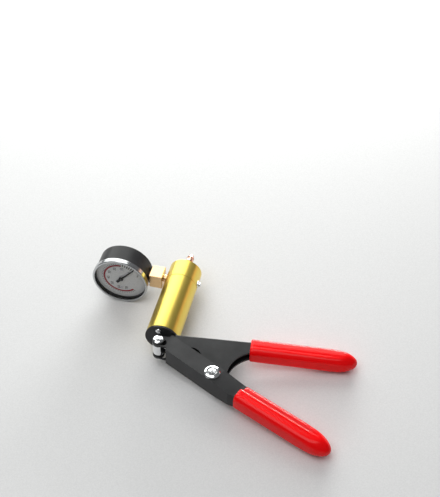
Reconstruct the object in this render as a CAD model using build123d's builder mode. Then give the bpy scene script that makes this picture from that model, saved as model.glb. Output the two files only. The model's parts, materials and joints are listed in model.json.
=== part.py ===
from build123d import *
from math import acos, atan2, cos, degrees, hypot, radians, sin
import os

# Hand vacuum pump, in millimetres. The hose barb is the origin and the cylinder lies along Y, with the hose
# leaving towards +Y. The two handles spread towards +X, the gauge hangs on the -X side, and +Z is up.
# The pump lies on a flat surface: it rests on the rim of the gauge and on the two grips, so the plane of the
# handles is rolled about the cylinder's axis by a few degrees. Positions x, y, z below are in the rolled
# handle frame, and at() turns them into the model's own frame.

REST_ROLL = 4.8
ROLL = radians(REST_ROLL)

# stations along the cylinder
FRONT_Y = -13.5
HEAD_LENGTH = 21.6
CYLINDER_LENGTH = 91.0
PORT_SETBACK = 15.6
JOINT_Y = FRONT_Y - HEAD_LENGTH
REAR_Y = FRONT_Y - CYLINDER_LENGTH
PORT_Y = FRONT_Y - PORT_SETBACK

# cylinder and head
CYLINDER_R = 16.5
BORE_R = 14.0
RIM_CHAMFER = 0.8
SPIGOT_LENGTH = 5.5
SPIGOT_R = 13.95
SPIGOT_Y = JOINT_Y - SPIGOT_LENGTH
SEAL_GROOVE_R = 12.6
SEAL_R = 0.68
PASSAGE_R = 1.6
THREAD_R = 3.0
GUIDE_LENGTH = 7.0
GUIDE_Y = REAR_Y + GUIDE_LENGTH

# piston and rod
ROD_R = 3.0
ROD_BORE_R = 3.05
PISTON_R = 13.6
CUP_R = 13.95
PISTON_LENGTH = 9.0
PISTON_Y = SPIGOT_Y - 1.0
PISTON_REAR_Y = PISTON_Y - PISTON_LENGTH
ROD_TIP_R = 2.5
SPRING_R = 9.5
SPRING_WIRE_R = 0.7
SPRING_TURNS = 8
EYE_R = 5.5
EYE_HALF = 6.0

# handles: the pin on the rod's axis and the pivot of the lever
PIN_SETBACK = 12.8
PIN_Y = REAR_Y - PIN_SETBACK
PIN_R = 3.0
PIVOT_X = 58.5
PIVOT_Y = REAR_Y - 38.3
PIVOT_R = 3.0
LEVER_ANGLE = -26.8
LEVER_SHEET = 1.6

# gauge
GAUGE_X = -61.2
GAUGE_FACE_Y = FRONT_Y - 32.0
GAUGE_BACK_Y = FRONT_Y - 4.8
BEZEL_R = 28.9
CASE_R = 27.6
CASE_WALL = 1.2
POINTER_REST = 48.0
BLOCK_X = -26.0
BLOCK_WIDTH = 13.5
BLOCK_SIZE = 16.0

X_DIR = (cos(ROLL), 0, -sin(ROLL))
Z_DIR = (sin(ROLL), 0, cos(ROLL))
HANDLES = Plane(origin=(0, 0, 0), x_dir=X_DIR, z_dir=Z_DIR)
GAUGE_AXIS = Axis(HANDLES.from_local_coords((GAUGE_X, 0, 0)), (0, 1, 0))

os.makedirs("parts", exist_ok=True)


def at(x, y, z):
    """A point of the rolled handle frame, in the model's frame."""
    return HANDLES.from_local_coords((x, y, z))


def across(x, y, turn=0.0):
    """A plane square to the cylinder, seen from behind: its x is the handle frame's X, turned towards Z."""
    angle = radians(turn)
    along = (X_DIR[0] * cos(angle) + Z_DIR[0] * sin(angle), 0, X_DIR[2] * cos(angle) + Z_DIR[2] * sin(angle))
    return Plane(origin=at(x, y, 0), x_dir=along, z_dir=(0, -1, 0))


def sideways(x, y, z=0):
    """A plane facing +X: its x is Y and its y is Z."""
    return Plane(origin=at(x, y, z), x_dir=(0, 1, 0), z_dir=X_DIR)


def flat(x, y, z=0, turn=0.0):
    """A plane along the handles, turned about Z."""
    angle = radians(turn)
    along = (X_DIR[0] * cos(angle), sin(angle), X_DIR[2] * cos(angle))
    return Plane(origin=at(x, y, z), x_dir=along, z_dir=Z_DIR)


def polygon(plane, points):
    """A closed polygon on a plane."""
    with BuildSketch(plane) as shape:
        with BuildLine():
            Polyline(*points, close=True)
        make_face()
    return shape.sketch


def round_profile(points, x=0):
    """Half a lengthwise section of a piece turned about a line along Y: points are (radius, y)."""
    return polygon(flat(x, 0), points)


def side_profile(points, y=PORT_Y):
    """Half a lengthwise section of a piece turned about the port's axis: points are (x, radius)."""
    return polygon(flat(0, y), points)


def touch(centre, radius, point, side):
    """Where a line from point touches a circle, on the circle's side +1 or -1."""
    dx, dy = point[0] - centre[0], point[1] - centre[1]
    turn = atan2(dy, dx) + side * acos(radius / hypot(dx, dy))
    return (centre[0] + radius * cos(turn), centre[1] + radius * sin(turn))


def coil(plane, length, turns, radius, wire):
    """A wound wire spring that starts on a plane and runs along its normal."""
    spring_axis = plane.z_dir
    path = Helix(length / turns, length, radius, center=plane.origin, direction=spring_axis)
    start = Plane(origin=path @ 0, z_dir=path % 0)
    with BuildSketch(start) as section:
        Circle(wire)
    return sweep(section.sketch, path=path, is_frenet=True)


def save(piece, name):
    """Labels a finished piece and writes it."""
    piece.part.label = name
    export_step(piece.part, f"parts/{name}.step")


PORT_AXIS = Axis(at(0, PORT_Y, 0), X_DIR)

# ---- cylinder ----

with BuildPart() as cylinder_tube:
    revolve(
        round_profile([(BORE_R, JOINT_Y), (CYLINDER_R - 0.4, JOINT_Y), (CYLINDER_R, JOINT_Y - 0.4),
                       (CYLINDER_R, REAR_Y + 0.3), (CYLINDER_R - 0.3, REAR_Y), (BORE_R, REAR_Y)]),
        axis=Axis.Y,
    )
save(cylinder_tube, "cylinder_tube")

RELEASE_SOCKET_R = 4.0
RELEASE_SOCKET_X = 6.5
RELEASE_CHAMBER_X = 2.0
VALVE_POCKET_R = 7.0
VALVE_POCKET_DEPTH = 4.0
NIPPLE_THREAD = 7.0
NECK_END_X = -11.0
NECK_R = 3.75

with BuildPart() as front_head:
    revolve(
        round_profile([(0, FRONT_Y), (CYLINDER_R - RIM_CHAMFER, FRONT_Y), (CYLINDER_R, FRONT_Y - RIM_CHAMFER),
                       (CYLINDER_R, JOINT_Y + 0.4), (CYLINDER_R - 0.4, JOINT_Y), (SPIGOT_R, JOINT_Y),
                       (SPIGOT_R, SPIGOT_Y + 3.6), (SEAL_GROOVE_R, SPIGOT_Y + 3.6),
                       (SEAL_GROOVE_R, SPIGOT_Y + 1.8), (SPIGOT_R, SPIGOT_Y + 1.8), (SPIGOT_R, SPIGOT_Y),
                       (0, SPIGOT_Y)]),
        axis=Axis.Y,
    )
    revolve(
        round_profile([(0, FRONT_Y), (THREAD_R, FRONT_Y), (THREAD_R, FRONT_Y - NIPPLE_THREAD),
                       (PASSAGE_R, FRONT_Y - NIPPLE_THREAD), (PASSAGE_R, SPIGOT_Y + VALVE_POCKET_DEPTH),
                       (VALVE_POCKET_R, SPIGOT_Y + VALVE_POCKET_DEPTH), (VALVE_POCKET_R, SPIGOT_Y),
                       (0, SPIGOT_Y)]),
        axis=Axis.Y,
        mode=Mode.SUBTRACT,
    )
    revolve(
        side_profile([(-20, 0), (-20, NECK_R), (NECK_END_X, NECK_R), (NECK_END_X, PASSAGE_R),
                      (RELEASE_CHAMBER_X, PASSAGE_R), (RELEASE_CHAMBER_X, 3.2), (RELEASE_SOCKET_X, 3.2),
                      (RELEASE_SOCKET_X, RELEASE_SOCKET_R), (20, RELEASE_SOCKET_R), (20, 0)]),
        axis=PORT_AXIS,
        mode=Mode.SUBTRACT,
    )
save(front_head, "front_head")

with BuildPart() as head_seal:
    with BuildSketch(flat(0, SPIGOT_Y + 2.7)):
        with Locations((13.28, 0)):
            Circle(SEAL_R)
    revolve(axis=Axis.Y)
save(head_seal, "head_seal")

# ---- hose nipple: two barbs, the rear one with a straight land that is the hose mount ----

BARB_R = 4.0
LAND_HALF = 1.5
HEX_ACROSS = 9.6
NIPPLE_TIP_Y = 7.5
NIPPLE_BORE_R = 1.6

with BuildPart() as hose_nipple:
    revolve(
        round_profile([(NIPPLE_BORE_R, NIPPLE_TIP_Y), (2.9, NIPPLE_TIP_Y), (3.8, 4.0), (3.2, 4.0), (3.2, 3.4),
                       (BARB_R, LAND_HALF), (BARB_R, -LAND_HALF), (3.3, -LAND_HALF), (3.3, FRONT_Y),
                       (THREAD_R, FRONT_Y), (THREAD_R, FRONT_Y - NIPPLE_THREAD + 0.3),
                       (NIPPLE_BORE_R, FRONT_Y - NIPPLE_THREAD + 0.3)]),
        axis=Axis.Y,
    )
    with BuildSketch(across(0, FRONT_Y)):
        RegularPolygon(HEX_ACROSS / 2, 6, major_radius=False)
        Circle(NIPPLE_BORE_R, mode=Mode.SUBTRACT)
    extrude(amount=-4.5)
save(hose_nipple, "hose_nipple")

# ---- inlet check valve in the rear of the head ----

with BuildPart() as valve_seat:
    with BuildSketch(across(0, SPIGOT_Y + 0.8)):
        Circle(VALVE_POCKET_R)
        Circle(1.25, mode=Mode.SUBTRACT)
        with PolarLocations(3.2, 6):
            Circle(0.7, mode=Mode.SUBTRACT)
    extrude(amount=-2.2)
save(valve_seat, "valve_seat")

with BuildPart() as inlet_valve:
    revolve(
        round_profile([(0, SPIGOT_Y + 3.7), (1.5, SPIGOT_Y + 3.5), (1.5, SPIGOT_Y + 3.0),
                       (1.2, SPIGOT_Y + 3.0), (1.2, SPIGOT_Y + 0.8), (5.2, SPIGOT_Y + 0.8),
                       (5.2, SPIGOT_Y + 0.4), (1.6, SPIGOT_Y - 0.2), (0, SPIGOT_Y - 0.2)]),
        axis=Axis.Y,
    )
save(inlet_valve, "inlet_valve")

# ---- release valve in the head's right side ----

BUSH_END_X = 17.2
BUTTON_R = 2.22
BUTTON_END_X = 19.6

with BuildPart() as release_bush:
    revolve(
        side_profile([(RELEASE_SOCKET_X, 1.3), (RELEASE_SOCKET_X, RELEASE_SOCKET_R),
                      (BUSH_END_X - 0.4, RELEASE_SOCKET_R), (BUSH_END_X, RELEASE_SOCKET_R - 0.4),
                      (BUSH_END_X, 2.3), (10.0, 2.3), (10.0, 1.3)]),
        axis=PORT_AXIS,
    )
save(release_bush, "release_bush")

with BuildPart() as release_button:
    revolve(
        side_profile([(4.6, 0), (4.6, 1.0), (14.5, 1.0), (14.5, BUTTON_R), (BUTTON_END_X - 0.7, BUTTON_R),
                      (BUTTON_END_X, BUTTON_R - 0.9), (BUTTON_END_X, 0)]),
        axis=PORT_AXIS,
    )
save(release_button, "release_button")

with BuildPart() as release_poppet:
    revolve(side_profile([(4.6, 1.0), (4.6, 2.4), (5.6, 2.4), (5.6, 1.0)]), axis=PORT_AXIS)
save(release_poppet, "release_poppet")

with BuildPart() as release_seal:
    revolve(side_profile([(5.6, 1.0), (5.6, 2.3), (6.4, 2.3), (6.4, 1.0)]), axis=PORT_AXIS)
save(release_seal, "release_seal")

with BuildPart() as release_spring:
    add(coil(sideways(10.3, PORT_Y), 3.9, 5, 1.65, 0.25))
save(release_spring, "release_spring")

# ---- gauge block and its neck ----

BLOCK_LEFT_X = BLOCK_X - BLOCK_WIDTH / 2
BLOCK_RIGHT_X = BLOCK_X + BLOCK_WIDTH / 2
STEM_R = 4.5

with BuildPart() as gauge_block:
    with BuildSketch(sideways(BLOCK_LEFT_X, PORT_Y)):
        Rectangle(BLOCK_SIZE, BLOCK_SIZE)
    extrude(amount=BLOCK_WIDTH)
    chamfer(gauge_block.edges(), 0.5)
    revolve(
        side_profile([(BLOCK_LEFT_X, 0), (BLOCK_LEFT_X, STEM_R), (-27.5, STEM_R), (-27.5, PASSAGE_R),
                      (-23.5, PASSAGE_R), (-23.5, NECK_R), (BLOCK_RIGHT_X, NECK_R), (BLOCK_RIGHT_X, 0)]),
        axis=PORT_AXIS,
        mode=Mode.SUBTRACT,
    )
save(gauge_block, "gauge_block")

with BuildPart() as block_nipple:
    revolve(
        side_profile([(-23.5, PASSAGE_R), (-23.5, NECK_R), (NECK_END_X, NECK_R), (NECK_END_X, PASSAGE_R)]),
        axis=PORT_AXIS,
    )
save(block_nipple, "block_nipple")

# ---- gauge ----

LIP_Y = GAUGE_FACE_Y + 1.2
LENS_BACK_Y = LIP_Y + 1.6
DIAL_Y = GAUGE_FACE_Y + 5.3
DIAL_BACK_Y = DIAL_Y + 0.6
MOVEMENT_Y = DIAL_BACK_Y + 3.0
SOCKET_X = -50.0
WINDOW_R = 26.8
STOP_ANGLE = 25.0
STOP_RADIUS = 19.5
STOP_R = 0.8

TUBE_ARC_R = 15.0
TUBE_START = 15.0
TUBE_SWEEP = 245.0

with BuildPart() as bourdon_tube:
    with BuildLine(across(GAUGE_X, PORT_Y)) as tube_path:
        CenterArc((0, 0), TUBE_ARC_R, TUBE_START, TUBE_SWEEP)
    with BuildSketch(Plane(origin=tube_path.line @ 0, z_dir=tube_path.line % 0)):
        Circle(1.6)
    sweep(path=tube_path.line)
save(bourdon_tube, "bourdon_tube")

with BuildPart() as gauge_stem:
    revolve(
        side_profile([(SOCKET_X, 0), (SOCKET_X, STEM_R), (-27.5, STEM_R), (-27.5, 0)]),
        axis=PORT_AXIS,
    )
    with BuildSketch(across(SOCKET_X, MOVEMENT_Y + 6.0)):
        RectangleRounded(11.0, 11.0, 1.0)
    extrude(amount=-5.5)
    revolve(
        side_profile([(SOCKET_X, 0), (SOCKET_X, PASSAGE_R), (-27.5, PASSAGE_R), (-27.5, 0)]),
        axis=PORT_AXIS,
        mode=Mode.SUBTRACT,
    )
    add(bourdon_tube.part, mode=Mode.SUBTRACT)
save(gauge_stem, "gauge_stem")

CASE_INNER_R = CASE_R - CASE_WALL
CASE_FLOOR_Y = GAUGE_BACK_Y - CASE_WALL
LEDGE_R = CASE_INNER_R - 2.4

with BuildPart() as gauge_case:
    revolve(
        round_profile([(0, GAUGE_BACK_Y), (CASE_R - 2.5, GAUGE_BACK_Y), (CASE_R, GAUGE_BACK_Y - 2.5),
                       (CASE_R, LENS_BACK_Y), (CASE_INNER_R, LENS_BACK_Y), (CASE_INNER_R, DIAL_BACK_Y),
                       (LEDGE_R, DIAL_BACK_Y), (LEDGE_R, DIAL_BACK_Y + 1.0),
                       (CASE_INNER_R, DIAL_BACK_Y + 1.0), (CASE_INNER_R, CASE_FLOOR_Y - 2.0),
                       (CASE_INNER_R - 2.0, CASE_FLOOR_Y), (0, CASE_FLOOR_Y)], GAUGE_X),
        axis=GAUGE_AXIS,
    )
    revolve(
        side_profile([(-45, 0), (-45, STEM_R), (-30, STEM_R), (-30, 0)]),
        axis=PORT_AXIS,
        mode=Mode.SUBTRACT,
    )
save(gauge_case, "gauge_case")

with BuildPart() as gauge_bezel:
    revolve(
        round_profile([(WINDOW_R, GAUGE_FACE_Y), (BEZEL_R - 0.6, GAUGE_FACE_Y), (BEZEL_R, GAUGE_FACE_Y + 0.6),
                       (BEZEL_R, GAUGE_FACE_Y + 5.0), (CASE_R, GAUGE_FACE_Y + 5.0), (CASE_R, LIP_Y),
                       (WINDOW_R, LIP_Y)], GAUGE_X),
        axis=GAUGE_AXIS,
    )
save(gauge_bezel, "gauge_bezel")

with BuildPart() as gauge_lens:
    with BuildSketch(across(GAUGE_X, LIP_Y)):
        Circle(CASE_R - 0.1)
    extrude(amount=LIP_Y - LENS_BACK_Y)
save(gauge_lens, "gauge_lens")

with BuildPart() as gauge_dial:
    with BuildSketch(across(GAUGE_X, DIAL_Y)):
        Circle(CASE_R - CASE_WALL - 0.1)
        Circle(1.2, mode=Mode.SUBTRACT)
        with PolarLocations(13.0, 2, start_angle=90):
            Circle(0.8, mode=Mode.SUBTRACT)
        with PolarLocations(STOP_RADIUS, 1, start_angle=STOP_ANGLE):
            Circle(STOP_R, mode=Mode.SUBTRACT)
    extrude(amount=DIAL_Y - DIAL_BACK_Y)
save(gauge_dial, "gauge_dial")

with BuildPart() as pointer_stop:
    with BuildSketch(across(GAUGE_X, DIAL_BACK_Y)):
        with PolarLocations(STOP_RADIUS, 1, start_angle=STOP_ANGLE):
            Circle(STOP_R)
    extrude(amount=DIAL_BACK_Y - DIAL_Y + 1.8)
    fillet(pointer_stop.faces().sort_by(Axis.Y)[0].edges(), 0.4)
save(pointer_stop, "pointer_stop")

with BuildPart() as gauge_pointer:
    with BuildSketch(across(GAUGE_X, DIAL_Y - 1.0, POINTER_REST)):
        with BuildLine():
            Polyline((-7.0, 1.6), (-7.0, -1.6), (0, -1.0), (20.5, -0.4), (20.5, 0.4), (0, 1.0), close=True)
        make_face()
        Circle(2.4)
    extrude(amount=0.5)
    with BuildSketch(across(GAUGE_X, DIAL_Y - 1.2)):
        Circle(0.8)
    extrude(amount=-(MOVEMENT_Y + 6.5 - DIAL_Y))
    with BuildSketch(across(GAUGE_X, MOVEMENT_Y + 2.0)):
        Circle(1.6)
    extrude(amount=-2.0)
save(gauge_pointer, "gauge_pointer")

POSTS = [(-7.0, 6.0), (7.0, -6.0)]

with BuildPart() as gauge_movement:
    with BuildSketch(across(GAUGE_X, MOVEMENT_Y), across(GAUGE_X, MOVEMENT_Y + 5.0)):
        RectangleRounded(20, 17, 2)
        Circle(0.85, mode=Mode.SUBTRACT)
    extrude(amount=-1.0)
    with BuildSketch(across(GAUGE_X, MOVEMENT_Y)):
        with Locations(*POSTS):
            Circle(1.1)
    extrude(amount=-5.5)
save(gauge_movement, "gauge_movement")

with BuildPart() as dial_screws:
    with BuildSketch(across(GAUGE_X, DIAL_Y - 0.5)):
        with PolarLocations(13.0, 2, start_angle=90):
            Circle(1.3)
    extrude(amount=-0.5)
    with BuildSketch(across(GAUGE_X, DIAL_Y)):
        with PolarLocations(13.0, 2, start_angle=90):
            Circle(0.8)
    extrude(amount=-2.0)
save(dial_screws, "dial_screws")

# ---- piston ----

CUP_GROOVE = (PISTON_Y - 1.5, PISTON_Y - 4.5)
RING_GROOVE = (PISTON_Y - 6.0, PISTON_Y - 8.0)
NUT_POCKET = 4.0

with BuildPart() as piston:
    revolve(
        round_profile([(ROD_TIP_R, PISTON_Y - NUT_POCKET), (6.0, PISTON_Y - NUT_POCKET), (6.0, PISTON_Y),
                       (12.2, PISTON_Y), (12.2, CUP_GROOVE[0]), (10.6, CUP_GROOVE[0]), (10.6, CUP_GROOVE[1]),
                       (PISTON_R, CUP_GROOVE[1]), (PISTON_R, RING_GROOVE[0]), (12.0, RING_GROOVE[0]),
                       (12.0, RING_GROOVE[1]), (PISTON_R, RING_GROOVE[1]), (PISTON_R, PISTON_REAR_Y),
                       (ROD_TIP_R, PISTON_REAR_Y)]),
        axis=Axis.Y,
    )
save(piston, "piston")

with BuildPart() as piston_cup:
    revolve(
        round_profile([(10.6, CUP_GROOVE[0]), (12.2, CUP_GROOVE[0]), (12.2, CUP_GROOVE[1] + 1.4),
                       (13.2, CUP_GROOVE[1] + 1.8), (CUP_R, PISTON_Y), (CUP_R, CUP_GROOVE[1] + 0.6),
                       (13.4, CUP_GROOVE[1]), (10.6, CUP_GROOVE[1])]),
        axis=Axis.Y,
    )
save(piston_cup, "piston_cup")

with BuildPart() as piston_ring:
    revolve(
        round_profile([(12.0, RING_GROOVE[0]), (CUP_R, RING_GROOVE[0]), (CUP_R, RING_GROOVE[1]),
                       (12.0, RING_GROOVE[1])]),
        axis=Axis.Y,
    )
save(piston_ring, "piston_ring")

with BuildPart() as piston_nut:
    with BuildSketch(across(0, PISTON_Y - NUT_POCKET)):
        RegularPolygon(4.0, 6, major_radius=False)
        Circle(ROD_TIP_R, mode=Mode.SUBTRACT)
    extrude(amount=-3.4)
save(piston_nut, "piston_nut")

EYE_NECK_Y = PIN_Y + 9.5

EYE_THREAD_R = 2.2
EYE_THREAD_Y = PIN_Y + 5.0

with BuildPart() as piston_rod:
    revolve(
        round_profile([(0, PISTON_Y - 0.3), (ROD_TIP_R, PISTON_Y - 0.3), (ROD_TIP_R, PISTON_REAR_Y),
                       (ROD_R, PISTON_REAR_Y), (ROD_R, EYE_NECK_Y), (EYE_THREAD_R, EYE_NECK_Y),
                       (EYE_THREAD_R, EYE_THREAD_Y), (0, EYE_THREAD_Y)]),
        axis=Axis.Y,
    )
save(piston_rod, "piston_rod")

with BuildPart() as rod_eye:
    revolve(
        round_profile([(0, EYE_NECK_Y), (3.8, EYE_NECK_Y), (4.8, EYE_NECK_Y - 1.5), (4.8, PIN_Y),
                       (0, PIN_Y)]),
        axis=Axis.Y,
    )
    with BuildSketch(flat(0, PIN_Y, -EYE_HALF)):
        Circle(EYE_R)
    extrude(amount=2 * EYE_HALF)
    with BuildSketch(flat(0, PIN_Y, -EYE_HALF - 1)):
        Circle(PIN_R)
    extrude(amount=2 * EYE_HALF + 2, mode=Mode.SUBTRACT)
    with BuildSketch(across(0, EYE_THREAD_Y)):
        Circle(EYE_THREAD_R)
    extrude(amount=-10, mode=Mode.SUBTRACT)
save(rod_eye, "rod_eye")

SPRING_SPAN = PISTON_REAR_Y - GUIDE_Y - 2 * SPRING_WIRE_R - 0.2

with BuildPart() as return_spring:
    add(coil(Plane(origin=(0, GUIDE_Y + SPRING_WIRE_R + 0.1, 0), x_dir=X_DIR, z_dir=(0, 1, 0)),
             SPRING_SPAN, SPRING_TURNS, SPRING_R, SPRING_WIRE_R))
save(return_spring, "return_spring")

# ---- rear guide, rod seal and the frame's screws ----

SCREW_CIRCLE_R = 11.6
SCREW_ANGLE = 103.0
SCREW_R = 1.45
PLATE = 2.0
PLATE_REAR_Y = REAR_Y - PLATE

with BuildPart() as rear_guide:
    revolve(
        round_profile([(ROD_BORE_R, GUIDE_Y), (BORE_R, GUIDE_Y), (BORE_R, REAR_Y), (5.0, REAR_Y),
                       (5.0, REAR_Y + 2.6), (ROD_BORE_R, REAR_Y + 2.6)]),
        axis=Axis.Y,
    )
    with BuildSketch(across(0, REAR_Y)):
        with PolarLocations(SCREW_CIRCLE_R, 2, start_angle=SCREW_ANGLE):
            Circle(SCREW_R)
    extrude(amount=-6.0, mode=Mode.SUBTRACT)
save(rear_guide, "rear_guide")

with BuildPart() as rod_seal:
    revolve(
        round_profile([(ROD_BORE_R, REAR_Y + 2.5), (5.0, REAR_Y + 2.5), (5.0, REAR_Y + 0.1),
                       (ROD_BORE_R, REAR_Y + 0.1)]),
        axis=Axis.Y,
    )
save(rod_seal, "rod_seal")

with BuildPart() as frame_screws:
    with BuildSketch(across(0, PLATE_REAR_Y)):
        with PolarLocations(SCREW_CIRCLE_R, 2, start_angle=SCREW_ANGLE):
            Circle(2.8)
    extrude(amount=2.0)
    fillet(frame_screws.faces().sort_by(Axis.Y)[:2].edges(), 1.0)
    with BuildSketch(across(0, PLATE_REAR_Y)):
        with PolarLocations(SCREW_CIRCLE_R, 2, start_angle=SCREW_ANGLE):
            Circle(SCREW_R)
    extrude(amount=-7.0)
    with BuildSketch(across(0, PLATE_REAR_Y - 2.0)):
        with PolarLocations(SCREW_CIRCLE_R, 2, start_angle=SCREW_ANGLE):
            Rectangle(2.8, 0.7)
            Rectangle(0.7, 2.8)
    extrude(amount=-1.1, mode=Mode.SUBTRACT)
save(frame_screws, "frame_screws")

# ---- handle frame: a pressed channel with its web on the cylinder's side and its mouth towards -Y ----

FRAME_SHEET = PLATE
FRAME_START_X = 9.5
RISE_X = 16.5
BEND_R = 1.5
ARM_X = 85.0
ARM_RISE = 10.3
ARM_ANGLE = 5.0
ARM_WIDTH = 13.8
ARM_LENGTH = 84.0
ARM_HALF = 5.5
FRAME_HEIGHTS = [(12.0, 8.3), (ARM_X, ARM_HALF)]
LOBE_R = 5.8
BUSH_R = 4.0
RELIEF = (35.5, REAR_Y - 18.0)

pivot = (PIVOT_X, PIVOT_Y)
crotch = (70.8, REAR_Y - 30.7)
heel = (FRAME_START_X, REAR_Y - 12.0)
ARM = flat(ARM_X, REAR_Y + ARM_RISE, 0, ARM_ANGLE)


def on_arm(distance, offset):
    """A point beside the arm's outer face, in the handle frame."""
    turn = radians(ARM_ANGLE)
    return (ARM_X + distance * cos(turn) - offset * sin(turn),
            REAR_Y + ARM_RISE + distance * sin(turn) + offset * cos(turn))


def symmetric(plane, points):
    """An outline mirrored about its own x axis: points are (x, half height)."""
    return polygon(plane, points + [(x, -half) for x, half in reversed(points)])


def frame_side(inset):
    """The frame seen square to the cylinder: tall at the plate and lower along the arm."""
    start = (-20.0, FRAME_HEIGHTS[0][1])
    end = (230.0, ARM_HALF)
    points = [start] + FRAME_HEIGHTS + [end]
    return symmetric(across(0, REAR_Y + 40), [(x, half - inset) for x, half in points])


def web_edges(part):
    """The long bends of the frame, between its web and its two flanges."""
    bends = []
    for edge in part.edges():
        start, end = [HANDLES.to_local_coords(point) for point in (edge @ 0, edge @ 1)]
        lengthwise = abs(start.X - end.X) > 1
        on_flange = start.Z * end.Z > 9
        on_web = min(start.Y, end.Y) > REAR_Y - 0.1
        if lengthwise and on_flange and on_web:
            bends.append(edge)
    return bends


with BuildPart() as frame_cavity:
    with BuildSketch(flat(0, 0, -10)):
        with BuildLine():
            Polyline((-20, REAR_Y - FRAME_SHEET), (RISE_X, REAR_Y - FRAME_SHEET), on_arm(0, -FRAME_SHEET),
                     on_arm(140, -FRAME_SHEET), (220, REAR_Y - 80), (-20, REAR_Y - 80), close=True)
        make_face()
    extrude(amount=20)
    extrude(frame_side(FRAME_SHEET), amount=150, mode=Mode.INTERSECT)

with BuildPart() as handle_frame:
    with BuildSketch(flat(0, 0, -10)):
        with BuildLine():
            ThreePointArc(on_arm(0, -ARM_WIDTH), (74.6, REAR_Y - 15.2), crotch)
            Polyline(crotch, touch(pivot, LOBE_R, crotch, -1), pivot, touch(pivot, LOBE_R, heel, 1), heel,
                     (FRAME_START_X, REAR_Y), (RISE_X, REAR_Y), on_arm(0, 0), on_arm(ARM_LENGTH, 0),
                     on_arm(ARM_LENGTH, -ARM_WIDTH), on_arm(0, -ARM_WIDTH))
        make_face()
        with Locations(pivot):
            Circle(LOBE_R)
    extrude(amount=20)
    extrude(frame_side(0), amount=150, mode=Mode.INTERSECT)
    fillet(web_edges(handle_frame.part), BEND_R)
    add(frame_cavity.part, mode=Mode.SUBTRACT)
    with BuildSketch(across(0, PLATE_REAR_Y)):
        Circle(CYLINDER_R)
    extrude(amount=-PLATE)
    with BuildSketch(across(0, PLATE_REAR_Y)):
        Circle(4.0)
        with PolarLocations(SCREW_CIRCLE_R, 2, start_angle=SCREW_ANGLE):
            Circle(SCREW_R)
    extrude(amount=-PLATE, mode=Mode.SUBTRACT)
    with BuildSketch(flat(0, 0, -12)):
        with Locations(pivot):
            Circle(BUSH_R)
        with Locations(Location((RELIEF[0], RELIEF[1], 0), (0, 0, LEVER_ANGLE))):
            Ellipse(8.0, 6.0)
    extrude(amount=24, mode=Mode.SUBTRACT)
save(handle_frame, "handle_frame")

# ---- lever: a wider channel over the frame, its web on the far side from the cylinder ----
# Its outline is drawn along the lever itself: u runs from the pivot towards the grip, v towards the frame.

LEVER = flat(PIVOT_X, PIVOT_Y, 0, LEVER_ANGLE)
LEVER_SIDE = Plane(origin=LEVER.from_local_coords((0, 60, 0)), x_dir=LEVER.x_dir, z_dir=-LEVER.y_dir)
LEVER_AXIS = Axis(LEVER.origin, LEVER.z_dir)
LEVER_EDGE = 9.8
LEVER_WEB = -7.8
LEVER_TALL = 10.2
LEVER_LOW = 7.8
LEVER_TAPER_U = 7.0
LEVER_LOW_U = 30.0
LEVER_HALF = 7.9
LEVER_METAL = 70.0
GRIP_U = 34.0
GRIP_V = 1.8
GRIP_TURN = 3.0
EAR_R = 5.8
CORNER_R = 2.4
LEVER_END_X = 9.5
WEB_START_U = -51.8
SLOT_R = 3.7
SLOT_START = (-63.72, -3.25)
SLOT_END = (-58.43, -2.96)

GRIP_DIR = flat(0, 0, 0, LEVER_ANGLE + GRIP_TURN).x_dir
GRIP = Plane(origin=LEVER.from_local_coords((GRIP_U, GRIP_V, 0)), x_dir=GRIP_DIR, z_dir=LEVER.z_dir)


def along_lever(x, y):
    """A point of the handle frame in the lever's own u, v."""
    turn = radians(LEVER_ANGLE)
    dx, dy = x - PIVOT_X, y - PIVOT_Y
    return (dx * cos(turn) + dy * sin(turn), dy * cos(turn) - dx * sin(turn))


def along_grip(distance, offset):
    """A point of the lever's grip, in u, v."""
    turn = radians(GRIP_TURN)
    return (GRIP_U + distance * cos(turn) - offset * sin(turn),
            GRIP_V + distance * sin(turn) + offset * cos(turn))


def lever_side(inset):
    """The lever seen along v: tall round the frame and lower inside its grip."""
    points = [(-90.0, LEVER_TALL), (LEVER_TAPER_U, LEVER_TALL), (LEVER_LOW_U, LEVER_LOW), (160.0, LEVER_LOW)]
    return symmetric(LEVER_SIDE, [(u, half - inset) for u, half in points])


pin = along_lever(0, PIN_Y)
ear_top = along_lever(LEVER_END_X, REAR_Y - 6.5)
ear_bottom = along_lever(LEVER_END_X, REAR_Y - 19.5)
corner_top = along_lever(LEVER_END_X, REAR_Y - 2.6)
corner_bottom = along_lever(LEVER_END_X, REAR_Y - 22.3)
slot_length = hypot(SLOT_END[0] - SLOT_START[0], SLOT_END[1] - SLOT_START[1])
slot_turn = degrees(atan2(SLOT_END[1] - SLOT_START[1], SLOT_END[0] - SLOT_START[0]))
slot_middle = ((SLOT_START[0] + SLOT_END[0]) / 2, (SLOT_START[1] + SLOT_END[1]) / 2)

with BuildPart() as lever_cavity:
    with BuildSketch(LEVER.offset(-12)):
        with BuildLine():
            Polyline((-90, -30), (WEB_START_U, -30), (WEB_START_U, LEVER_WEB + LEVER_SHEET),
                     (GRIP_U - 9, LEVER_WEB + LEVER_SHEET), along_grip(-4, LEVER_SHEET - LEVER_HALF),
                     along_grip(130, LEVER_SHEET - LEVER_HALF), (165, 50), (-90, 50), close=True)
        make_face()
    extrude(amount=24)
    extrude(lever_side(LEVER_SHEET), amount=120, mode=Mode.INTERSECT)

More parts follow.
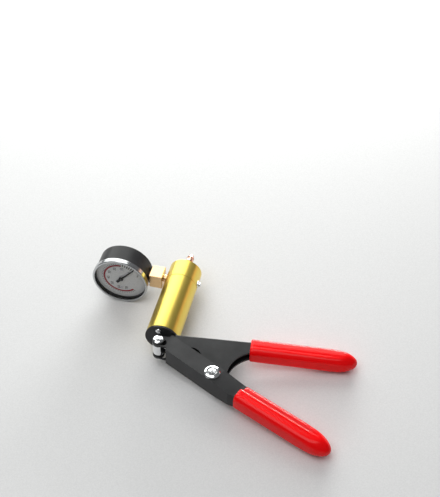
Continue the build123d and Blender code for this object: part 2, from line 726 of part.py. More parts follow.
with BuildPart() as lever:
    with BuildSketch(LEVER.offset(-12)):
        with BuildLine():
            Polyline(pin, touch(pin, EAR_R, ear_top, 1), ear_top, corner_top, (GRIP_U - 4, LEVER_EDGE),
                     along_grip(2, LEVER_HALF), along_grip(LEVER_METAL, LEVER_HALF),
                     along_grip(LEVER_METAL, -LEVER_HALF), along_grip(-4, -LEVER_HALF),
                     (GRIP_U - 9, LEVER_WEB), corner_bottom, ear_bottom,
                     touch(pin, EAR_R, ear_bottom, -1), close=True)
        make_face()
        with Locations(pin):
            Circle(EAR_R)
    extrude(amount=24)
    fillet(lever.edges().filter_by(LEVER_AXIS).sort_by_distance(LEVER.from_local_coords((*corner_top, 0)))[0],
           CORNER_R)
    extrude(lever_side(0), amount=120, mode=Mode.INTERSECT)
    add(lever_cavity.part, mode=Mode.SUBTRACT)
    with BuildSketch(LEVER.offset(-12)):
        Circle(PIVOT_R + 0.05)
        with Locations(slot_middle):
            SlotCenterToCenter(slot_length, 2 * SLOT_R, rotation=slot_turn)
    extrude(amount=24, mode=Mode.SUBTRACT)
save(lever, "lever")

# ---- grips: dipped vinyl sleeves, closed at the tip ----

FRAME_GRIP_HALF = 9.15
FRAME_GRIP_LENGTH = 101.5
FRAME_GRIP_V = -6.1
FRAME_DOME = 22.0
LEVER_GRIP_WIDTH = 9.8
LEVER_GRIP_HEIGHT = 9.5
LEVER_GRIP_LENGTH = 96.0
LEVER_DOME = 26.0
LIP_LENGTH = 3.0
LIP_WIDTH = 12.4
GRIP_CORNER = 5.5


def sleeve(plane, length, half_width, half_height, dome):
    """A rounded bar along a plane's x, with a bullet-shaped tip."""
    reach = hypot(half_width - GRIP_CORNER, half_height - GRIP_CORNER) + GRIP_CORNER
    dome_from = length - dome
    with BuildPart() as bar:
        with BuildSketch(Plane(origin=plane.origin, x_dir=plane.y_dir, z_dir=plane.x_dir)):
            RectangleRounded(2 * half_width, 2 * half_height, GRIP_CORNER)
        extrude(amount=length)
        fillet(bar.faces().sort_by(Axis(plane.origin, plane.x_dir))[0].edges(), 1.0)
        with BuildSketch(plane):
            with BuildLine():
                Line((-1, 0), (-1, reach))
                Line((-1, reach), (dome_from, reach))
                EllipticalCenterArc((dome_from, 0), dome, reach, arc_size=90)
                Line((length, 0), (-1, 0))
            make_face()
        revolve(axis=Axis(plane.origin, plane.x_dir), mode=Mode.INTERSECT)
    return bar.part


with BuildPart() as frame_grip:
    add(sleeve(ARM.shift_origin(ARM.from_local_coords((0.5, FRAME_GRIP_V, 0))), FRAME_GRIP_LENGTH,
               FRAME_GRIP_HALF, FRAME_GRIP_HALF, FRAME_DOME))
    with BuildSketch(ARM.offset(-ARM_HALF)):
        with Locations((ARM_LENGTH / 2 - 5, -ARM_WIDTH / 2)):
            Rectangle(ARM_LENGTH + 10, ARM_WIDTH)
    extrude(amount=2 * ARM_HALF, mode=Mode.SUBTRACT)
save(frame_grip, "frame_grip")

with BuildPart() as lever_grip:
    add(sleeve(GRIP.shift_origin(GRIP.from_local_coords((-LIP_LENGTH, 0, 0))), LEVER_GRIP_LENGTH + LIP_LENGTH,
               LEVER_GRIP_WIDTH, LEVER_GRIP_HEIGHT, LEVER_DOME))
    with BuildSketch(GRIP.offset(-LEVER_GRIP_HEIGHT)):
        with Locations((-LIP_LENGTH / 2, LIP_WIDTH)):
            Rectangle(LIP_LENGTH, 2 * LEVER_GRIP_WIDTH)
    extrude(amount=2 * LEVER_GRIP_HEIGHT, mode=Mode.SUBTRACT)
    with BuildSketch(GRIP.offset(-LEVER_LOW)):
        with Locations((LEVER_METAL / 2 - 5, 0)):
            Rectangle(LEVER_METAL + 10, 2 * LEVER_HALF)
    extrude(amount=2 * LEVER_LOW, mode=Mode.SUBTRACT)
    add(lever.part, mode=Mode.SUBTRACT)
save(lever_grip, "lever_grip")

# ---- pivot ----

LEVER_FACE = LEVER_TALL + 0.2
PIVOT_AXIS = Axis(at(PIVOT_X, PIVOT_Y, 0), Z_DIR)
PIN_AXIS = Axis(at(0, PIN_Y, 0), Z_DIR)
BUSH_HALF = LEVER_TALL - LEVER_SHEET - 0.1
FRAME_AT_PIVOT = 6.6
NUT_BOTTOM = -LEVER_FACE - 3.6
HEAD_R = 7.65

with BuildPart() as pivot_bush:
    with BuildSketch(flat(PIVOT_X, PIVOT_Y, -BUSH_HALF)):
        Circle(BUSH_R)
        Circle(PIVOT_R, mode=Mode.SUBTRACT)
    extrude(amount=2 * BUSH_HALF)
save(pivot_bush, "pivot_bush")

with BuildPart() as pivot_spacers:
    with BuildSketch(flat(PIVOT_X, PIVOT_Y, FRAME_AT_PIVOT), flat(PIVOT_X, PIVOT_Y, -BUSH_HALF)):
        Circle(5.7)
        Circle(BUSH_R, mode=Mode.SUBTRACT)
    extrude(amount=BUSH_HALF - FRAME_AT_PIVOT)
    add(handle_frame.part, mode=Mode.SUBTRACT)
save(pivot_spacers, "pivot_spacers")

with BuildPart() as pivot_bolt:
    revolve(
        polygon(across(PIVOT_X, PIVOT_Y),
                [(0, NUT_BOTTOM), (PIVOT_R, NUT_BOTTOM), (PIVOT_R, LEVER_FACE), (HEAD_R, LEVER_FACE),
                 (HEAD_R, LEVER_FACE + 0.8), (HEAD_R - 0.8, LEVER_FACE + 1.7), (5.2, LEVER_FACE + 2.4),
                 (4.4, LEVER_FACE + 2.4), (3.9, LEVER_FACE + 1.7), (0, LEVER_FACE + 1.9)]),
        axis=PIVOT_AXIS,
    )
    with BuildSketch(flat(PIVOT_X, PIVOT_Y, LEVER_FACE + 0.7)):
        Rectangle(6.4, 1.3)
        Rectangle(1.3, 6.4)
    extrude(amount=5, mode=Mode.SUBTRACT)
save(pivot_bolt, "pivot_bolt")

with BuildPart() as pivot_nut:
    with BuildSketch(flat(PIVOT_X, PIVOT_Y, -LEVER_FACE - 3.2)):
        RegularPolygon(5.0, 6, major_radius=False)
        Circle(PIVOT_R, mode=Mode.SUBTRACT)
    extrude(amount=3.2)
save(pivot_nut, "pivot_nut")

# ---- clevis pin ----

WASHER = 0.7
CLIP_TOP = -LEVER_FACE - WASHER - 0.1
CLIP_THICK = 0.7

with BuildPart() as clevis_pin:
    revolve(
        polygon(across(0, PIN_Y),
                [(0, CLIP_TOP - 1.6), (PIN_R - 0.3, CLIP_TOP - 1.6), (PIN_R, CLIP_TOP - 1.3),
                 (PIN_R, CLIP_TOP - CLIP_THICK), (2.3, CLIP_TOP - CLIP_THICK), (2.3, CLIP_TOP),
                 (PIN_R, CLIP_TOP), (PIN_R, LEVER_FACE + WASHER), (5.1, LEVER_FACE + WASHER),
                 (5.1, LEVER_FACE + WASHER + 0.5), (4.4, LEVER_FACE + WASHER + 1.0),
                 (3.0, LEVER_FACE + WASHER + 1.3), (0, LEVER_FACE + WASHER + 1.4)]),
        axis=PIN_AXIS,
    )
save(clevis_pin, "clevis_pin")

with BuildPart() as clevis_washers:
    with BuildSketch(flat(0, PIN_Y, LEVER_FACE), flat(0, PIN_Y, -LEVER_FACE - WASHER)):
        Circle(5.6)
        Circle(PIN_R, mode=Mode.SUBTRACT)
    extrude(amount=WASHER)
save(clevis_washers, "clevis_washers")

with BuildPart() as clevis_spacers:
    with BuildSketch(flat(0, PIN_Y, EYE_HALF), flat(0, PIN_Y, -EYE_HALF - 2.3)):
        Circle(5.2)
        Circle(PIN_R, mode=Mode.SUBTRACT)
    extrude(amount=2.3)
save(clevis_spacers, "clevis_spacers")

with BuildPart() as clevis_clip:
    with BuildSketch(flat(0, PIN_Y, CLIP_TOP - CLIP_THICK)):
        Circle(5.2)
        Circle(2.3, mode=Mode.SUBTRACT)
        with Locations((-4, 0)):
            Rectangle(8, 4.0, mode=Mode.SUBTRACT)
    extrude(amount=CLIP_THICK)
save(clevis_clip, "clevis_clip")
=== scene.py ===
"""Hand vacuum pump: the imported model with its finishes, its dipped grips and its printed dial."""
import json
from math import cos, hypot, pi, radians, sin

import bmesh
import bpy
from mathutils import Euler, Matrix, Vector


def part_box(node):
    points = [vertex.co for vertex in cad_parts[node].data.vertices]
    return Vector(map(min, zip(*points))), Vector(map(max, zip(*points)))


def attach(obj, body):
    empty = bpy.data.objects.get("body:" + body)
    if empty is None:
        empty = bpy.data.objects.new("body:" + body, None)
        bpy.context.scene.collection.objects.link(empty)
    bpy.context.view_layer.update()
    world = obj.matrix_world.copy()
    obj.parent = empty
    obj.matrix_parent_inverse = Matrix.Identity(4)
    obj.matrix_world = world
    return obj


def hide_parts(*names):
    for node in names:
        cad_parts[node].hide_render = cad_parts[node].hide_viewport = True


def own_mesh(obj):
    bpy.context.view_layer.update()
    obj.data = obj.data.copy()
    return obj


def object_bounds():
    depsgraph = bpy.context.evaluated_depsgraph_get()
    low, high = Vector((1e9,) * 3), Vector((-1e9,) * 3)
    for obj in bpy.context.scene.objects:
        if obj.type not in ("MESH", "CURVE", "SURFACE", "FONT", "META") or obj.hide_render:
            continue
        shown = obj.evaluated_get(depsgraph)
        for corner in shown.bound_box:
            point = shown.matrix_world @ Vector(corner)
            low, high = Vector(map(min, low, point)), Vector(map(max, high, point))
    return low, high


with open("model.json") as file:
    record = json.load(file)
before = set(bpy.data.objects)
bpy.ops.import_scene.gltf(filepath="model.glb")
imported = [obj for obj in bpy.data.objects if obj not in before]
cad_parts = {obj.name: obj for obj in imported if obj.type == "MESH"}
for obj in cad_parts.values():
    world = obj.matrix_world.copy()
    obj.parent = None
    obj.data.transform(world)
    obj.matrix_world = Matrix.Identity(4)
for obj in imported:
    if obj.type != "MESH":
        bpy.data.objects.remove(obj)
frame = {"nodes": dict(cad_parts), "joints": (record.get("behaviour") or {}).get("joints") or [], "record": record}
cad_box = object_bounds()
nodes = frame["nodes"]

MM = 0.001

# The plane of the handles is rolled about the cylinder, because the pump lies on its gauge and its grips.
# The squeeze joint's axis is square to that plane, so it says by how much.
joints = {joint["name"]: joint for joint in frame["joints"]}
UP = Vector(joints["lever_squeeze"]["axis"]).normalized()
ALONG = Vector((0, 1, 0))
RIGHT = ALONG.cross(UP)
HANDLES = Matrix((RIGHT, ALONG, UP)).transposed()

REAR_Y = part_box("cylinder_tube")[0].y
PIVOT = Vector(joints["lever_squeeze"]["pos_m"])
GAUGE = Vector(joints["gauge_pointer_turn"]["pos_m"])
FLOOR_Z = cad_box[0].z


def at(x, y, z):
    """A point in the handle frame, in mm from the centre of the cylinder's rear face."""
    return HANDLES @ Vector((x, y, z)) * MM + Vector((0, REAR_Y, 0))


# ---- camera ----

CAMERA_AT = (182.694, -583.842, 732.764)
CAMERA_AZIMUTH = 12.34
CAMERA_ELEVATION = 45.05
CAMERA_TILT = 1.33
LENS = 71.37
SENSOR_WIDTH = 36


def make_camera():
    """The camera that looks down at the pump from behind its handles."""
    data = bpy.data.cameras.new("camera")
    data.lens = LENS
    data.sensor_width = SENSOR_WIDTH
    camera = bpy.data.objects.new("camera", data)
    turn = Euler((radians(90 - CAMERA_ELEVATION), 0, radians(CAMERA_AZIMUTH))).to_matrix()
    roll = Matrix.Rotation(radians(CAMERA_TILT), 3, "Z")
    camera.matrix_world = Matrix.Translation(at(*CAMERA_AT)) @ (HANDLES @ turn @ roll).to_4x4()
    bpy.context.scene.collection.objects.link(camera)
    bpy.context.scene.camera = camera


make_camera()
bpy.context.scene.view_settings.view_transform = "Standard"

# ---- light and floor ----

# Each lamp's name, place from the pump's centre, width and height, in metres, then its watts and colour.
LAMPS = (
    ("far_panel", (-0.44, 1.10, 0.64), 1.45, 1.25, 17.5, (0.98, 1.0, 0.97)),
    ("low_strip", (0.0, 1.30, 0.26), 0.70, 0.20, 12.0, (1.0, 1.0, 1.0)),
    ("warm_panel", (0.92, 0.90, 0.10), 0.34, 0.20, 0.30, (1.0, 0.55, 0.36)),
    ("top", (-0.25, -0.20, 1.2), 1.3, 1.3, 11.0, (1.0, 1.0, 1.0)),
)
SKY_COLOUR = (0.96, 0.98, 1.0, 1)
SKY_STRENGTH = 0.16
FLOOR_HALF = 3.0


def area_light(name, place, target, width, height, watts, colour):
    """A soft rectangular lamp at place, in metres, that points at target."""
    data = bpy.data.lights.new(name, "AREA")
    data.shape = "RECTANGLE"
    data.size = width
    data.size_y = height
    data.energy = watts
    data.color = colour
    lamp = bpy.data.objects.new(name, data)
    lamp.location = place
    lamp.rotation_euler = (target - place).to_track_quat("-Z", "Y").to_euler()
    bpy.context.scene.collection.objects.link(lamp)


def make_light():
    """A bright panel and a low strip beyond the pump, a small warm panel to the right, and a top light."""
    centre = (cad_box[0] + cad_box[1]) / 2
    for name, offset, width, height, watts, colour in LAMPS:
        area_light(name, centre + Vector(offset), centre, width, height, watts, colour)
    world = bpy.data.worlds.new("surround")
    world.use_nodes = True
    sky = world.node_tree.nodes["Background"]
    sky.inputs["Color"].default_value = SKY_COLOUR
    sky.inputs["Strength"].default_value = SKY_STRENGTH
    bpy.context.scene.world = world


def make_floor():
    """A pale floor that the pump rests on."""
    mesh = bpy.data.meshes.new("floor")
    corners = [(x * FLOOR_HALF, y * FLOOR_HALF, FLOOR_Z) for x, y in ((-1, -1), (1, -1), (1, 1), (-1, 1))]
    mesh.from_pydata(corners, [], [(0, 1, 2, 3)])
    floor = bpy.data.objects.new("floor", mesh)
    bpy.context.scene.collection.objects.link(floor)
    floor.data.materials.append(plain("floor", (0.70, 0.70, 0.70), 0.8))


# ---- materials ----

COAT_GLOSS = 0.22
VINYL_GLOSS = 0.24


def start(name, colour, roughness, metallic=0.0):
    """A new material: its node tree and its shader."""
    material = bpy.data.materials.new(name)
    material.use_nodes = True
    shader = material.node_tree.nodes["Principled BSDF"]
    shader.inputs["Base Color"].default_value = (*colour, 1)
    shader.inputs["Roughness"].default_value = roughness
    shader.inputs["Metallic"].default_value = metallic
    return material, shader


def link(tree, source, target):
    """Joins one node's output to another's input."""
    tree.links.new(source, target)


def coordinates(tree, scale=(1, 1, 1)):
    """The object's own coordinates in metres, stretched by scale."""
    place = tree.nodes.new("ShaderNodeTexCoord")
    mapping = tree.nodes.new("ShaderNodeMapping")
    mapping.inputs["Scale"].default_value = scale
    link(tree, place.outputs["Object"], mapping.inputs["Vector"])
    return mapping.outputs["Vector"]


def noise(tree, vector, scale, detail=2.0):
    """A noise pattern's value."""
    texture = tree.nodes.new("ShaderNodeTexNoise")
    texture.inputs["Scale"].default_value = scale
    texture.inputs["Detail"].default_value = detail
    link(tree, vector, texture.inputs["Vector"])
    return texture.outputs["Fac"]


def ramp(tree, value, low, high, low_at=0.3, high_at=0.7):
    """A value turned into a colour between two."""
    node = tree.nodes.new("ShaderNodeValToRGB")
    node.color_ramp.elements[0].position = low_at
    node.color_ramp.elements[1].position = high_at
    node.color_ramp.elements[0].color = (*low, 1)
    node.color_ramp.elements[1].color = (*high, 1)
    link(tree, value, node.inputs["Fac"])
    return node.outputs["Color"]


def spread(tree, value, low, high):
    """A value between 0 and 1, moved to between low and high."""
    node = tree.nodes.new("ShaderNodeMapRange")
    node.inputs["To Min"].default_value = low
    node.inputs["To Max"].default_value = high
    link(tree, value, node.inputs["Value"])
    return node.outputs["Result"]


def bump(tree, shader, value, strength, distance):
    """Raises the surface by a pattern: distance is in metres."""
    node = tree.nodes.new("ShaderNodeBump")
    node.inputs["Strength"].default_value = strength
    node.inputs["Distance"].default_value = distance
    link(tree, value, node.inputs["Height"])
    link(tree, node.outputs["Normal"], shader.inputs["Normal"])


def plain(name, colour, roughness, metallic=0.0, grain=900.0, spread_by=0.06):
    """A finish with a fine grain and slightly uneven gloss."""
    material, shader = start(name, colour, roughness, metallic)
    tree = material.node_tree
    pattern = noise(tree, coordinates(tree), grain)
    low = tuple(channel * 0.92 for channel in colour)
    link(tree, ramp(tree, pattern, low, colour), shader.inputs["Base Color"])
    gloss = spread(tree, pattern, roughness - spread_by, roughness + spread_by)
    link(tree, gloss, shader.inputs["Roughness"])
    return material


def turned(name, colour, roughness):
    """Metal turned on a lathe about the cylinder's axis, then coated: faint rings of gloss along Y."""
    material, shader = start(name, colour, roughness, 1.0)
    tree = material.node_tree
    fine = noise(tree, coordinates(tree, (8, 900, 8)), 1.0)
    broad = noise(tree, coordinates(tree, (16, 30, 16)), 1.0)
    low = tuple(channel * 0.95 for channel in colour)
    link(tree, ramp(tree, broad, low, colour), shader.inputs["Base Color"])
    link(tree, spread(tree, fine, roughness - 0.01, roughness + 0.01), shader.inputs["Roughness"])
    return material


def black_coat(name, colour, roughness):
    """Baked black coat on pressed steel: a faint orange peel, with paler dust on it."""
    material, shader = start(name, colour, roughness)
    tree = material.node_tree
    peel = noise(tree, coordinates(tree), 1400.0)
    dust = noise(tree, coordinates(tree), 60.0, 5.0)
    pale = tuple(channel * 1.5 + 0.004 for channel in colour)
    link(tree, ramp(tree, dust, colour, pale, 0.35, 0.75), shader.inputs["Base Color"])
    link(tree, spread(tree, dust, roughness - 0.05, roughness + 0.08), shader.inputs["Roughness"])
    bump(tree, shader, peel, 0.1, 0.00002)
    shader.inputs["Specular IOR Level"].default_value = COAT_GLOSS
    return material


def dipped_vinyl(name, colour):
    """Thick glossy vinyl: a soft uneven skin with a deeper colour in its hollows."""
    material, shader = start(name, colour, 0.22)
    tree = material.node_tree
    skin = noise(tree, coordinates(tree, (60, 60, 60)), 1.0)
    tone = noise(tree, coordinates(tree, (25, 25, 25)), 1.0, 3.0)
    deep = (colour[0] * 0.92, colour[1] * 0.8, colour[2] * 0.8)
    link(tree, ramp(tree, tone, deep, colour), shader.inputs["Base Color"])
    link(tree, spread(tree, skin, 0.17, 0.22), shader.inputs["Roughness"])
    bump(tree, shader, skin, 0.05, 0.0003)
    shader.inputs["Specular IOR Level"].default_value = VINYL_GLOSS
    return material


def clear_lens(name):
    """The gauge's window."""
    material, shader = start(name, (0.02, 0.02, 0.02), 0.03)
    shader.inputs["Alpha"].default_value = 0.08
    shader.inputs["IOR"].default_value = 1.5
    return material


FINISHES = {
    "gold_anodised": turned("gold_anodised", (0.84, 0.64, 0.13), 0.31),
    "copper_plate": turned("copper_plate", (0.86, 0.58, 0.46), 0.22),
    "brass": plain("brass", (0.80, 0.55, 0.30), 0.26, 1.0, 300.0, 0.02),
    "black_steel": black_coat("black_steel", (0.025, 0.025, 0.026), 0.36),
    "black_case": black_coat("black_case", (0.020, 0.020, 0.021), 0.34),
    "chrome": plain("chrome", (0.88, 0.89, 0.90), 0.10, 1.0, 300.0, 0.01),
    "bezel_steel": plain("bezel_steel", (0.55, 0.56, 0.57), 0.20, 1.0, 300.0, 0.02),
    "clear_lens": clear_lens("clear_lens"),
    "dial_white": plain("dial_white", (0.84, 0.85, 0.86), 0.45, 0.0, 400.0),
    "pointer_black": plain("pointer_black", (0.012, 0.012, 0.012), 0.5),
    "red_vinyl": dipped_vinyl("red_vinyl", (1.0, 0.002, 0.004)),
    "black_nylon": plain("black_nylon", (0.02, 0.02, 0.02), 0.45),
    "acetal": plain("acetal", (0.80, 0.79, 0.74), 0.4),
    "seal_rubber": plain("seal_rubber", (0.02, 0.02, 0.02), 0.6),
    "steel": plain("steel", (0.62, 0.62, 0.64), 0.25, 1.0),
    "piston_alloy": plain("piston_alloy", (0.75, 0.76, 0.78), 0.3, 1.0),
}
# A darker copy of the black coat for the frame: painted shade for its top, which lies lower beside the lever and
# in shade.
SHADED_FRAME_COAT = black_coat("shaded_frame_coat", (0.018, 0.018, 0.019), 0.34)

# ---- carried-over pieces ----

SHARP_ANGLE = 35
EDGE_WIDE = 0.00035
EDGE_FINE = 0.0002


def finish_nodes():
    """Every carried-over piece gets its slot's finish. The frame gets a darker copy of the lever's black coat:
    painted shade for the frame's top, which lies lower beside the lever and in shade.
    """
    for part in frame["record"]["subparts"]:
        target = nodes[part["node"]]
        target.data.materials.clear()
        target.data.materials.append(FINISHES[part["material_slot"]])
    nodes["handle_frame"].data.materials[0] = SHADED_FRAME_COAT


def soften(names, width):
    """Rounds the sharp edges of carried-over pieces a little, so that they catch the light."""
    for name in names:
        bevel = nodes[name].modifiers.new("soften", "BEVEL")
        bevel.width = width
        bevel.segments = 2
        bevel.limit_method = "ANGLE"
        bevel.angle_limit = radians(SHARP_ANGLE)


def piece(name, mesh, body, slot, material=None, replaces=()):
    """Puts a mesh in the scene as a piece that rides on a body."""
    thing = bpy.data.objects.new(name, mesh)
    bpy.context.scene.collection.objects.link(thing)
    mesh.materials.append(material or FINISHES[slot])
    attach(thing, body)
    if replaces:
        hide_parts(*replaces)
    return thing


# ---- springs ----


def squeezed_spring(node):
    """A spring's coil on the pump: a copy of the imported piece, which it replaces."""
    mesh = nodes[node].data.copy()
    mesh.materials.clear()
    mesh.transform(nodes[node].matrix_world)
    spring = piece(node + "_coil", mesh, "pump", "steel", replaces=[node])
    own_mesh(spring)


# ---- grips ----

# Lengths are in mm and angles in degrees. A size or a mouth is half a width and half a height.
CORNER = 5.5
SIDE_POINTS = 16
CORNER_POINTS = 9
BODY_STATIONS = 28
TIP_STATIONS = 26

# The rim's rings: how far each is from the open end, and how far it is drawn in.
RIM = ((0.0, 1.0), (0.3, 0.35), (1.0, 0.0))
MOUTH_DEPTH = 14.0
MOUTH_CORNER = 0.6

# A round limit shapes the dome. Along the bar it is this many times wider than the corners reach, and it
# closes in over this length before the dome. The blend is how sharply the limit takes over.
SLACK = 1.5
CLOSE_IN = 8.0
DOME_BLEND = 30

# The top falls by the crown at its sides. Each groove in it has a place across, a depth and a reach to each
# side. The grooves end this share of the way along the dome, after a fade of this length.
CROWN = 0.7
FRAME_GROOVES = ((-2.0, 0.1, 1.6),)
LEVER_GROOVES = ((2.4, 0.5, 1.5), (5.6, 0.2, 1.2), (-3.4, 0.15, 1.6))
GROOVE_END = 0.45
GROOVE_FADE = 10.0

FRAME_GRIP_ANGLE = 5.0
FRAME_GRIP_LENGTH = 101.5
FRAME_GRIP_SIZE = (9.15, 9.15)
FRAME_GRIP_DOME = 22.0
FRAME_MOUTH = (7.1, 5.5)
ARM_START = (85.0, 10.3)
FRAME_GRIP_FROM = (0.5, -6.1)

LEVER_ANGLE = -26.8
LEVER_GRIP_TURN = 3.0
LEVER_GRIP_FROM = (34.0, 1.8)
LEVER_GRIP_LENGTH = 96.0
LEVER_GRIP_SIZE = (9.8, 9.5)
LEVER_GRIP_DOME = 26.0
LEVER_MOUTH = (7.9, 7.8)
LIP_LENGTH = 3.0
LIP_EDGE = 2.6
LIP_STEP = 0.8
LIP_FADE = 14.0


def rounded_section(half_width, half_height, corner):
    """Points round a rounded rectangle, anticlockwise from the upper end of its right side."""
    points = []
    for side, level, angle in ((1, 1, 0), (-1, 1, 90), (-1, -1, 180), (1, -1, 270)):
        for step in range(CORNER_POINTS):
            turn = radians(angle + 90 * step / (CORNER_POINTS - 1))
            points.append((side * (half_width - corner) + corner * cos(turn),
                           level * (half_height - corner) + corner * sin(turn)))
        next_side = {0: (-1, 1), 90: (-1, -1), 180: (1, -1), 270: (1, 1)}[angle]
        start_point = points[-1]
        turn = radians(angle + 90)
        end_point = (next_side[0] * (half_width - corner) + corner * cos(turn),
                     next_side[1] * (half_height - corner) + corner * sin(turn))
        for step in range(1, SIDE_POINTS):
            share = step / SIDE_POINTS
            points.append((start_point[0] + (end_point[0] - start_point[0]) * share,
                           start_point[1] + (end_point[1] - start_point[1]) * share))
    return points


def shaped(across, height, size, limit, grooves):
    """A point of a section drawn in under a round limit, with its top crowned and grooved."""
    half_width, half_height = size
    if height > half_height - 0.01:
        height -= CROWN * (across / half_width) ** 2
        for place, depth, reach in grooves:
            height -= depth * max(0.0, 1 - ((across - place) / reach) ** 2) ** 2
    distance = hypot(across, height)
    drawn = (distance ** -DOME_BLEND + limit ** -DOME_BLEND) ** (-1 / DOME_BLEND) / distance
    return across * drawn, height * drawn


def grip_mesh(name, place, length, size, dome, grooves, mouth, lip):
    """A dipped sleeve along place's x, in mm: a rounded bar with a bullet tip and a hollow open end."""
    reach = hypot(size[0] - CORNER, size[1] - CORNER) + CORNER
    dome_from = length - dome
    rim_end = RIM[-1][0]
    stations = [(along - lip, inset, reach * SLACK) for along, inset in RIM]
    for step in range(1, BODY_STATIONS + 1):
        station = rim_end - lip + (dome_from - rim_end + lip) * step / BODY_STATIONS
        slack = (SLACK - 1) * min(1.0, (dome_from - station) / CLOSE_IN)
        stations.append((station, 0.0, reach * (1 + slack)))
    for step in range(1, TIP_STATIONS):
        angle = pi / 2 * step / TIP_STATIONS
        stations.append((dome_from + dome * sin(angle), 0.0, reach * cos(angle)))

    def shift(across, station):
        """How much further back the far side of the open end starts than its near side."""
        step_back = min(1.0, max(0.0, (across - LIP_EDGE + LIP_STEP / 2) / LIP_STEP))
        return lip * step_back * max(0.0, 1 - (station + lip) / LIP_FADE)

    loops = []
    for depth in (MOUTH_DEPTH, 0.0):
        loops.append([(depth - lip + shift(across, -lip), across, height)
                      for across, height in rounded_section(*mouth, MOUTH_CORNER)])
    for station, inset, limit in stations:
        fade = min(1.0, max(0.0, (dome_from + dome * GROOVE_END - station) / GROOVE_FADE))
        faded = [(where, depth * fade, width) for where, depth, width in grooves]
        ring = []
        for across, height in rounded_section(size[0] - inset, size[1] - inset, CORNER - inset * 0.5):
            across, height = shaped(across, height, (size[0] - inset, size[1] - inset), limit, faded)
            ring.append((station + shift(across, station), across, height))
        loops.append(ring)
    mesh_maker = bmesh.new()
    loops = [[mesh_maker.verts.new(place @ Vector(point)) for point in ring] for ring in loops]
    for low, high in zip(loops, loops[1:]):
        for index in range(len(low)):
            following = (index + 1) % len(low)
            mesh_maker.faces.new((low[index], low[following], high[following], high[index]))
    mesh_maker.faces.new(list(reversed(loops[0])))
    mesh_maker.faces.new(loops[-1])
    bmesh.ops.recalc_face_normals(mesh_maker, faces=mesh_maker.faces)
    mesh = bpy.data.meshes.new(name)
    mesh_maker.to_mesh(mesh)
    mesh_maker.free()
    for face in mesh.polygons:
        face.use_smooth = True
    return mesh


def grip_place(origin, angle):
    """A matrix whose x runs along a grip from its open end, in mm."""
    turn = Matrix.Rotation(radians(angle), 3, "Z")
    matrix = (HANDLES @ turn * MM).to_4x4()
    return Matrix.Translation(origin) @ matrix


def make_grips():
    """The two red sleeves."""
    turn = Matrix.Rotation(radians(FRAME_GRIP_ANGLE), 3, "Z")
    start_point = at(*ARM_START, 0) + HANDLES @ (turn @ Vector((*FRAME_GRIP_FROM, 0))) * MM
    mesh = grip_mesh("frame_sleeve", grip_place(start_point, FRAME_GRIP_ANGLE), FRAME_GRIP_LENGTH,
                     FRAME_GRIP_SIZE, FRAME_GRIP_DOME, FRAME_GROOVES, FRAME_MOUTH, 0.0)
    piece("frame_sleeve", mesh, "pump", "red_vinyl", replaces=["frame_grip"])
    turn = Matrix.Rotation(radians(LEVER_ANGLE), 3, "Z")
    start_point = PIVOT + HANDLES @ (turn @ Vector((*LEVER_GRIP_FROM, 0))) * MM
    place = grip_place(start_point, LEVER_ANGLE + LEVER_GRIP_TURN)
    mesh = grip_mesh("lever_sleeve", place, LEVER_GRIP_LENGTH, LEVER_GRIP_SIZE, LEVER_GRIP_DOME,
                     LEVER_GROOVES, LEVER_MOUTH, LIP_LENGTH)
    piece("lever_sleeve", mesh, "lever", "red_vinyl", replaces=["lever_grip"])


# ---- dial ----

DIAL_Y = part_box("gauge_dial")[0].y
DIAL_SLOT = "dial_white"
PRINT_THICKNESS = 0.06
SCALE_START = 48.0
SCALE_END = 313.0
FULL_SCALE = 76
TICK_EVERY = 2
NUMBER_EVERY = 10
NUMBER_RADIUS = 13.6
NUMBER_HEIGHT = 4.2

# Ticks up to the red value are bold. Each kind of tick has a length and a width, in mm.
RED_VALUE = 11
TICK_OUTER = 20.8
SHORT_TICK = (1.6, 0.45)
BOLD_TICK = (3.6, 0.9)
BAND_INNER = 17.0
BAND_OUTER = 18.9
BAND_GAP = 2
BAND_STEPS = 90


def dial_place():
    """A matrix on the dial's face: x is the handles' way, y is up, z comes out of the dial. In mm."""
    turn = Matrix((RIGHT, UP, -ALONG)).transposed() * MM
    return Matrix.Translation(Vector((GAUGE.x, DIAL_Y, GAUGE.z))) @ turn.to_4x4()


def printed(name, outlines, material):
    """Flat printed marks on the dial, as one thin mesh: each outline is a closed loop of points in mm."""
    place = dial_place()
    mesh_maker = bmesh.new()
    for outline in outlines:
        low = [mesh_maker.verts.new(place @ Vector((x, y, 0.0))) for x, y in outline]
        high = [mesh_maker.verts.new(place @ Vector((x, y, PRINT_THICKNESS))) for x, y in outline]
        count = len(outline)
        for index in range(count):
            following = (index + 1) % count
            mesh_maker.faces.new((low[index], low[following], high[following], high[index]))
        mesh_maker.faces.new(high)
        mesh_maker.faces.new(list(reversed(low)))
    bmesh.ops.recalc_face_normals(mesh_maker, faces=mesh_maker.faces)
    mesh = bpy.data.meshes.new(name)
    mesh_maker.to_mesh(mesh)
    mesh_maker.free()
    piece(name, mesh, "pump", DIAL_SLOT, material)


def arc_band(inner, outer, from_angle, to_angle, steps):
    """The outline of a band along an arc."""
    angles = [radians(from_angle + (to_angle - from_angle) * step / steps) for step in range(steps + 1)]
    outline = [(outer * cos(angle), outer * sin(angle)) for angle in angles]
    return outline + [(inner * cos(angle), inner * sin(angle)) for angle in reversed(angles)]


def tick(angle, length, width):
    """The outline of one radial mark, inwards from the scale's edge."""
    turn = radians(angle)
    inner = TICK_OUTER - length
    along, side = Vector((cos(turn), sin(turn))), Vector((-sin(turn), cos(turn))) * width / 2
    return [tuple(along * inner - side), tuple(along * TICK_OUTER - side), tuple(along * TICK_OUTER + side),
            tuple(along * inner + side)]


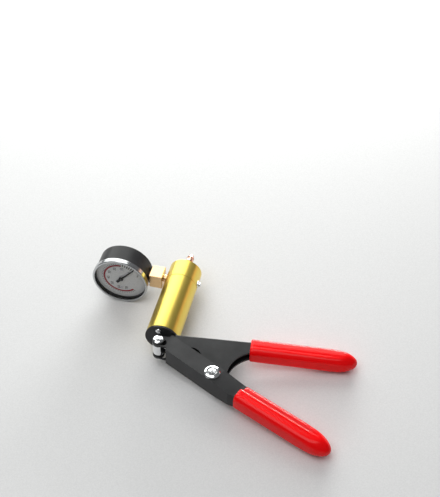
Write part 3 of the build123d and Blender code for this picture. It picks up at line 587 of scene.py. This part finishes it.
def numbers(name, labels, radius, height, material):
    """Upright numbers round the dial, read with the gauge's stem at the bottom."""
    place = dial_place()
    mesh_maker = bmesh.new()
    for label, angle in labels:
        curve = bpy.data.curves.new(name, "FONT")
        curve.body = label
        curve.size = height
        curve.extrude = PRINT_THICKNESS / 2
        curve.align_x = "CENTER"
        curve.align_y = "CENTER"
        text = bpy.data.objects.new(name, curve)
        mesh = bpy.data.meshes.new_from_object(text)
        turn = radians(angle)
        centre = Vector((radius * cos(turn), radius * sin(turn), PRINT_THICKNESS / 2))
        mesh.transform(place @ Matrix.Translation(centre) @ Matrix.Rotation(radians(90), 4, "Z"))
        mesh_maker.from_mesh(mesh)
        bpy.data.objects.remove(text)
        bpy.data.meshes.remove(mesh)
    mesh = bpy.data.meshes.new(name)
    mesh_maker.to_mesh(mesh)
    mesh_maker.free()
    piece(name, mesh, "pump", DIAL_SLOT, material)


def scale_angle(value):
    """Where a value stands on the dial."""
    return SCALE_START + (SCALE_END - SCALE_START) * value / FULL_SCALE


def make_dial():
    """The scale's ticks and numbers, and its red band."""
    ink = plain("dial_ink", (0.012, 0.012, 0.012), 0.5)
    red = plain("dial_red", (0.36, 0.004, 0.02), 0.45)
    values = range(0, FULL_SCALE + 1, TICK_EVERY)
    short = [tick(scale_angle(value), *SHORT_TICK) for value in values if value > RED_VALUE]
    bold = [tick(scale_angle(value), *BOLD_TICK) for value in values if value <= RED_VALUE]
    printed("dial_ticks", short + bold, ink)
    band = arc_band(BAND_INNER, BAND_OUTER, scale_angle(RED_VALUE) + BAND_GAP, SCALE_END, BAND_STEPS)
    printed("dial_red_band", [band], red)
    labels = [(str(value), scale_angle(value)) for value in range(0, FULL_SCALE, NUMBER_EVERY)]
    numbers("dial_numbers", labels, NUMBER_RADIUS, NUMBER_HEIGHT, ink)


# ---- make it ----

finish_nodes()
soften(["handle_frame", "lever"], EDGE_WIDE)
soften(["gauge_bezel", "pivot_nut", "hose_nipple", "clevis_washers"], EDGE_FINE)
squeezed_spring("return_spring")
squeezed_spring("release_spring")
make_grips()
make_dial()
make_floor()
make_light()
